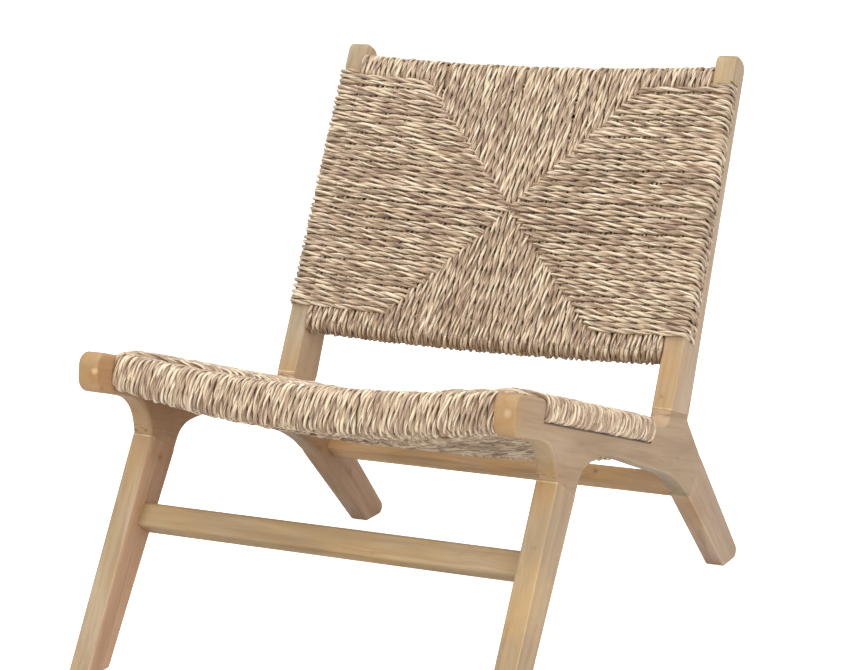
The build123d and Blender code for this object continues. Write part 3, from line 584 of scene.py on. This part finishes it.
class Strands:
    """Collects ply tubes and makes them into one mesh object."""

    def __init__(self):
        self.v, self.f, self.len, self.rnd, self.rows = [], [], [], [], []
        self.cos, self.sin, self.inner = [], [], []
        self.count = 0

    def cord(self, world, binormal, gen, lay=52.0, size=1.0):
        """world: closed path in metres at about 1 mm; binormal: square to its plane."""
        p = world * 1000.0
        closed = np.vstack([p, p[:1]])
        d = np.r_[0, np.cumsum(np.linalg.norm(np.diff(closed, axis=0), axis=1))]
        total = d[-1]
        m = max(int(round(total / STEP)), 12)
        t = np.arange(m) * total / m
        c = np.stack([np.interp(t, d, closed[:, i]) for i in range(3)], -1)
        tan = np.roll(c, -1, 0) - np.roll(c, 1, 0)
        tan /= np.linalg.norm(tan, axis=1, keepdims=True)
        b = binormal - tan * (tan @ binormal)[:, None]
        b /= np.linalg.norm(b, axis=1, keepdims=True)
        nn = np.cross(b, tan)
        turns = max(1, round(total / (lay * gen.uniform(0.86, 1.16))))
        warp = wander(t, total, 0.60, gen, 8)
        phi0 = 2 * np.pi * turns * t / total + warp + gen.uniform(0, 6.28)
        for k in range(2):
            phi = phi0 + np.pi * k
            rad = size * HELIX_R * (1 + wander(t, total, 0.07, gen, 9))
            radial = np.cos(phi)[:, None] * nn + np.sin(phi)[:, None] * b
            centre = c + radial * rad[:, None]
            pt = np.roll(centre, -1, 0) - np.roll(centre, 1, 0)
            pt /= np.linalg.norm(pt, axis=1, keepdims=True)
            e1 = radial - pt * np.sum(radial * pt, 1)[:, None]
            e1 /= np.linalg.norm(e1, axis=1, keepdims=True)
            e2 = np.cross(pt, e1)
            th = np.arange(SIDES) * 2 * np.pi / SIDES
            r = size * PLY_R * gen.uniform(0.93, 1.07) * (1 + wander(t, total, 0.07, gen, 12))
            lobe_turns = round(total / 64.0)
            lobe = 2 * np.pi * lobe_turns * t / total + gen.uniform(0, 6.28)
            shape = 1 + 0.13 * np.cos(2 * (th[None, :] + lobe[:, None])) \
                + 0.06 * np.cos(3 * th[None, :] - lobe[:, None])
            ring = centre[:, None, :] + (r[:, None] * shape)[:, :, None] * (
                np.cos(th)[None, :, None] * e1[:, None, :]
                + np.sin(th)[None, :, None] * e2[:, None, :]
            )
            base = self.count
            self.v.append(ring.reshape(-1, 3))
            i = np.arange(m)[:, None]
            j = np.arange(SIDES)[None, :]
            i2, j2 = (i + 1) % m, (j + 1) % SIDES
            quad = np.stack([
                np.broadcast_to(x, (m, SIDES)) for x in
                (i * SIDES + j, i * SIDES + j2, i2 * SIDES + j2, i2 * SIDES + j)
            ], -1).reshape(-1, 4) + base
            self.f.append(quad)
            self.len.append(np.repeat(t / 1000.0, SIDES))
            own = th[None, :] + 2 * np.pi * (t / 1000.0 * 9.0)[:, None]
            self.cos.append(np.cos(own).reshape(-1))
            self.sin.append(np.sin(own).reshape(-1))
            self.inner.append(np.tile(0.5 + 0.5 * np.cos(th), m))
            self.rnd.append(np.full(m * SIDES, gen.uniform()))
            self.rows.append((m, total))
            self.count += m * SIDES

    def make(self, name):
        v = np.concatenate(self.v) / 1000.0
        f = np.concatenate(self.f)
        mesh = bpy.data.meshes.new(name)
        mesh.vertices.add(len(v))
        mesh.vertices.foreach_set("co", v.astype(np.float32).ravel())
        mesh.loops.add(f.size)
        mesh.loops.foreach_set("vertex_index", f.astype(np.int32).ravel())
        mesh.polygons.add(len(f))
        mesh.polygons.foreach_set("loop_start", (np.arange(len(f)) * 4).astype(np.int32))
        mesh.polygons.foreach_set("loop_total", np.full(len(f), 4, np.int32))
        mesh.polygons.foreach_set("use_smooth", np.ones(len(f), bool))
        for label, data in (("ply_len", self.len), ("ply_cos", self.cos), ("ply_sin", self.sin),
                            ("ply_rnd", self.rnd), ("ply_in", self.inner)):
            a = mesh.attributes.new(label, "FLOAT", "POINT")
            a.data.foreach_set("value", np.concatenate(data).astype(np.float32))
        # a strip of its own for each ply: its length along U, round it along V
        uv = np.zeros((len(f), 4, 2))
        at, rows = 0, len(self.rows)
        for k, (m, total) in enumerate(self.rows):
            i = np.repeat(np.arange(m), SIDES)
            j = np.tile(np.arange(SIDES), m)
            u0, u1 = 0.002 + 0.996 * i / m, 0.002 + 0.996 * (i + 1) / m
            v0 = (k + 0.06 + 0.88 * j / SIDES) / rows
            v1 = (k + 0.06 + 0.88 * (j + 1) / SIDES) / rows
            block = uv[at:at + m * SIDES]
            block[:, 0] = np.stack([u0, v0], -1)
            block[:, 1] = np.stack([u0, v1], -1)
            block[:, 2] = np.stack([u1, v1], -1)
            block[:, 3] = np.stack([u1, v0], -1)
            at += m * SIDES
        layer = mesh.uv_layers.new(name="OFBake")
        layer.data.foreach_set("uv", uv.astype(np.float32).ravel())
        mesh.update(calc_edges=True)
        mesh.validate()
        mesh.materials.append(cord_mats[name[:4]])
        obj = bpy.data.objects.new(name, mesh)
        bpy.context.scene.collection.objects.link(obj)
        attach(obj, "root")
        return obj


def step(x, width):
    """Smooth 0 to 1 over a width round 0."""
    return 1.0 / (1.0 + np.exp(-np.clip(x / width * 4.0, -30, 30)))


CORD = 3.85        # middle of a cord above the timber it lies on
LAYER = 6.3        # one cord on another


class Panel:
    """A weave on four rails. Cords of one family run along the panel and turn round
    its two end rails; the other family runs across it and turns round the two side
    bars. In the end triangles the first lies on top, in the side triangles the second,
    and each dives under the other at the diagonals."""

    def __init__(self, point, along, bow_top, bow_bot, ends, rows, diag, bar, rise):
        self.point, self.along = point, along          # mapping and unit direction of b
        self.bow_top, self.bow_bot = bow_top, bow_bot  # functions of x, drop of each face
        self.ends, self.rows = ends, rows
        self.diag, self.bar, self.rise = diag, bar, rise

    # natural level of the lengthwise cords on the top and under face
    def top(self, x):
        return self.ends["top"] - self.bow_top(x) + CORD

    def under(self, x, b):
        return self.ends["under"](b) - self.bow_bot(x) - CORD

    def half_width(self, b):
        """Half width of the end triangles at b: outside it, side cords are on top."""
        b0, b1, mid0, mid1, x0, x1 = self.diag
        low = x0 * np.clip((mid0 - b) / (mid0 - b0), -1, 1)
        high = x1 * np.clip((b - mid1) / (b1 - mid1), -1, 1)
        w = np.maximum(low, high)
        w = np.where(b > b1 + 3.0, 1000.0, w)
        return np.where(b < b0 - 3.0, 1000.0, w)

    # level of the crosswise cords where they are on top
    def cross_top(self, x, b):
        xd = np.clip(self.half_width(b), 0, 262)
        end = self.top(xd) + self.rise[1]
        start_x = X_IN
        start = CORD + self.rise[0]
        t = np.clip((start_x - np.abs(x)) / np.maximum(start_x - xd, 1.0), 0, 1)
        return start + (end - start) * t

    def cross_under(self, x, b):
        xd = np.clip(self.half_width(b), 0, 262)
        end = self.under(xd, b) - self.rise[1]
        start = -self.bar(b)[1]
        t = np.clip((X_IN - np.abs(x)) / np.maximum(X_IN - xd, 1.0), 0, 1)
        return start + (end - start) * t


def length_cord(panel, x0, gen):
    """Closed loop of one cord round the two end rails, near x0."""
    e = panel.ends
    turn = 11.5                    # the cord rounds each rail corner at this radius
    b = np.arange(e["b0"] - CORD + turn + 1, e["b3"] + CORD - turn, 3.0)
    x = np.full_like(b, x0)
    over = step(panel.half_width(b) - abs(x0), 7.0)
    hi, lo = panel.top(x), np.minimum(panel.cross_top(x, b) - LAYER, panel.top(x) - 1.5)
    n_top = over * hi + (1 - over) * lo
    ub = b[::-1]
    hi_u = panel.under(x, ub)
    lo_u = np.maximum(panel.cross_under(x, ub) + LAYER, hi_u + 1.0)
    over_u = step(panel.half_width(ub) - abs(x0), 7.0)
    n_under = over_u * hi_u + (1 - over_u) * lo_u
    top0, top1 = panel.top(np.array([x0]))[0], panel.top(np.array([x0]))[0]
    bot1 = panel.under(np.array([x0]), np.array([e["b3"]]))[0]
    bot0 = panel.under(np.array([x0]), np.array([e["b0"]]))[0]
    def corner(mid_b, mid_n, start):
        sweep = np.radians(start - np.linspace(0, 90, 7))
        return list(zip(mid_b + turn * np.cos(sweep), mid_n + turn * np.sin(sweep)))

    far, near = e["b3"] + CORD - turn, e["b0"] - CORD + turn
    loop = [(v, w) for v, w in zip(b, n_top)]
    loop += corner(far, top1 - turn, 90)
    if top1 - bot1 > 2 * turn + 2:
        loop += [(e["b3"] + CORD + 0.5, (top1 + bot1) / 2)]
    loop += corner(far, bot1 + turn, 0)
    loop += [(v, w) for v, w in zip(ub, n_under)]
    loop += corner(near, bot0 + turn, 270)
    if top0 - bot0 > 2 * turn + 2:
        loop += [(e["b0"] - CORD - 0.5, (top0 + bot0) / 2)]
    loop += corner(near, top0 - turn, 180)
    r = smooth_loop(loop, 5)
    m = len(r)
    t = np.arange(m, dtype=float)
    lean = 1.3 * np.sin((r[:, 1] - top0) / max(abs(top0 - bot0), 1) * 3.1416 * 0.5)
    a = x0 + wander(t, m, 0.75, gen, 9) + lean
    lift = wander(t, m, 0.30, gen, 9)
    return panel.point(a, r[:, 0], r[:, 1] + lift * 0.6)


def cross_cord(panel, b0, gen, skew=0.0):
    """Closed loop of one cord round the two side bars, near b0."""
    out_x, slot_n, slot_half = panel.bar(b0)
    x = np.arange(-X_IN + 5, X_IN - 4, 3.0)
    bb = np.full_like(x, b0)
    xd = panel.half_width(np.array([b0]))[0]
    over = step(np.abs(x) - xd, 6.0)
    hi = panel.cross_top(x, bb)
    lo = np.minimum(panel.top(x) - LAYER, hi - 1.0)
    # the end of each cord swells a little over the last cord that it crosses
    n_top = over * hi + (1 - over) * lo
    ux = x[::-1]
    over_u = step(np.abs(ux) - xd, 6.0)
    hi_u = panel.cross_under(ux, bb)
    lo_u = np.maximum(panel.under(ux, bb) + LAYER, hi_u + 1.0)
    n_under = over_u * hi_u + (1 - over_u) * lo_u
    loop = [(v, w) for v, w in zip(x, n_top)]
    loop += [
        (X_IN + 12.5, CORD + 0.47 * panel.rise[0]), (out_x - 3.0, CORD + 0.3), (out_x, 0.8),
        (out_x + 0.9, -slot_n * 0.5), (out_x, -slot_n + 0.8), (out_x - 3.6, -slot_n),
        (X_IN + 1, -slot_n),
    ]
    loop += [(v, w) for v, w in zip(ux, n_under)]
    loop += [
        (-X_IN - 1, -slot_n), (-out_x + 3.6, -slot_n), (-out_x, -slot_n + 0.8),
        (-out_x - 0.9, -slot_n * 0.5), (-out_x, 0.8), (-out_x + 3.0, CORD + 0.3),
        (-X_IN - 12.5, CORD + 0.47 * panel.rise[0]),
    ]
    r = smooth_loop(loop, 5)
    m = len(r)
    t = np.arange(m, dtype=float)
    b = b0 + wander(t, m, 0.65, gen, 9) + skew * r[:, 0]
    lift = wander(t, m, 0.28, gen, 9)
    inside = np.clip((X_IN - 6 - np.abs(r[:, 0])) / 20.0, 0, 1)
    return panel.point(r[:, 0], b, r[:, 1] + lift * inside)


# back: end rails are the bottom and top back rails, side bars the front of the posts
BACK_BOW = 22.0


def arc(x, depth):
    return depth * (1 - np.clip(np.abs(x) / X_IN, 0, 1) ** 2)


def back_slot(q):
    return 32.4 + (20.8 - 32.4) * (np.asarray(q, float) - 46.0) / 370.0


back_panel = Panel(
    back_point, np.array([0.0, SB, CB]),
    lambda x: arc(x, BACK_BOW), lambda x: arc(x, BACK_BOW),
    {"b0": 19.5, "b3": 429.5, "top": -1.0,
     "under": lambda b: -(29.0 + (21.0 - 29.0) * (b - 29.0) / 383.0)},
    None,
    (50.0, 402.0, 216.5, 220.5, 156.0, 168.0),
    lambda b: (X_OUT - 3.0 + 3.6, float(np.mean(back_slot(b))), 3.75),
    (0.0, 3.2),
)
# the under face drops away from the front on the back panel: n decreases to the rear
back_panel.bow_bot = lambda x: arc(x, BACK_BOW)

seat_panel = Panel(
    seat_point, np.array([0.0, CA, -SA]),
    lambda x: arc(x, 18.0), lambda x: arc(x, 25.0),
    {"b0": 34.0, "b3": 526.0, "top": 0.0, "under": lambda b: -34.5 + 0 * b},
    None,
    (79.0, 426.0, 251.0, 255.0, 166.0, 166.0),
    lambda b: (X_OUT - 2.5 + 3.6, 21.75, 3.75),
    (5.6, 5.6),
)

made = []


def lengthwise(panel, count, prefix, parts, seed_base):
    xs = np.linspace(-X_IN + 4.0, X_IN - 4.0, count)
    groups = np.array_split(np.arange(count), parts)
    for g, idx in enumerate(groups):
        s = Strands()
        for i in idx:
            gen = np.random.default_rng(seed_base + int(i))
            x0 = xs[i] + gen.normal() * 0.35
            s.cord(length_cord(panel, x0, gen), np.array([1.0, 0.0, 0.0]), gen,
                   lay=51.0, size=gen.uniform(0.97, 1.06))
        made.append(s.make("%s_%d" % (prefix, g + 1)))


def crosswise(panel, b_first, b_last, count, prefix, parts, seed_base):
    bs = np.linspace(b_first, b_last, count)
    groups = np.array_split(np.arange(count), parts)
    for g, idx in enumerate(groups):
        s = Strands()
        for i in idx:
            gen = np.random.default_rng(seed_base + int(i))
            b0 = bs[i] + gen.normal() * 0.4
            s.cord(cross_cord(panel, b0, gen), panel.along, gen,
                   lay=57.0, size=gen.uniform(0.98, 1.08))
        made.append(s.make("%s_%d" % (prefix, g + 1)))


lengthwise(back_panel, 70, "back_cord_upright", 5, 1000)
crosswise(back_panel, 50.0, 406.5, 44, "back_cord_level", 5, 2000)
lengthwise(seat_panel, 76, "seat_cord_lengthwise", 7, 3000)
crosswise(seat_panel, 80.5, 426.0, 48, "seat_cord_crosswise", 6, 4000)

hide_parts("back_weave")
for o in made[1:]:
    if o.name.startswith("back_"):
        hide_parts("back_weave")
    else:
        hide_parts("seat_weave")

# ---------------------------------------------------------------- floor and lights
floor_mesh = bpy.data.meshes.new("floor")
floor_mesh.from_pydata([(-9, -9, 0), (9, -9, 0), (9, 12, 0), (-9, 12, 0)], [], [(0, 1, 2, 3)])
floor = bpy.data.objects.new("floor", floor_mesh)
bpy.context.scene.collection.objects.link(floor)
fm = Nodes("pale_floor")
fm.bsdf.inputs["Base Color"].default_value = (0.62, 0.61, 0.60, 1)
fm.bsdf.inputs["Roughness"].default_value = 0.9
fm.bsdf.inputs["Specular IOR Level"].default_value = 0.1
fm.bsdf.inputs["Emission Color"].default_value = (1, 1, 1, 1)
fm.bsdf.inputs["Emission Strength"].default_value = 0.92
floor_mesh.materials.append(fm.mat)
# the floor's own glow lights nothing but the floor
only_floor = bpy.data.collections.new("floor_glow_receivers")
only_floor.objects.link(floor)
floor.light_linking.receiver_collection = only_floor

scene = bpy.context.scene
world = bpy.data.worlds.new("studio")
scene.world = world
world.use_nodes = True
wt = world.node_tree
wt.nodes.clear()
wout = wt.nodes.new("ShaderNodeOutputWorld")
wbg = wt.nodes.new("ShaderNodeBackground")
wbg.inputs[0].default_value = (1.0, 1.0, 1.0, 1.0)
wbg.inputs[1].default_value = 0.62
wt.links.new(wbg.outputs[0], wout.inputs[0])
scene.view_settings.view_transform = "Standard"
scene.view_settings.look = "None"


def area(name, place, target, size, energy, colour=(1, 1, 1)):
    light = bpy.data.lights.new(name, "AREA")
    light.shape = "SQUARE"
    light.size = size
    light.energy = energy
    light.color = colour
    o = bpy.data.objects.new(name, light)
    o.location = place
    o.rotation_euler = (Vector(target) - Vector(place)).to_track_quat("-Z", "Y").to_euler()
    scene.collection.objects.link(o)
    return o


area("key", (-1.6, -3.4, 2.6), (0, 0, 0.4), 2.2, 54.0, (1.0, 0.985, 0.965))
area("fill", (3.2, -1.6, 1.6), (0, 0, 0.35), 2.4, 46.0)
area("top", (0.2, -0.2, 3.2), (0, 0, 0.3), 2.6, 50.0)

# --------------------------------------------------------------------------- camera
yaw, pitch, roll = math.radians(26.89), math.radians(12.454), math.radians(-1.132)
d = Vector((-math.sin(yaw) * math.cos(pitch), math.cos(yaw) * math.cos(pitch), -math.sin(pitch)))
r = Vector((math.cos(yaw), math.sin(yaw), 0))
u = r.cross(d)
r2 = math.cos(roll) * r + math.sin(roll) * u
u2 = -math.sin(roll) * r + math.cos(roll) * u
cam = bpy.data.cameras.new("camera")
cam.sensor_fit = "HORIZONTAL"
cam.sensor_width = 36.0
cam.lens = 36.0 * 2502.1 / 860.0
cam.clip_end = 60.0
cam_obj = bpy.data.objects.new("camera", cam)
m = Matrix.Identity(4)
for i in range(3):
    m[i][0], m[i][1], m[i][2] = r2[i], u2[i], -d[i]
m[0][3], m[1][3], m[2][3] = 1.4661, -2.4552 - HALF / 1000.0, 1.0914
cam_obj.matrix_world = m
scene.collection.objects.link(cam_obj)
scene.camera = cam_obj
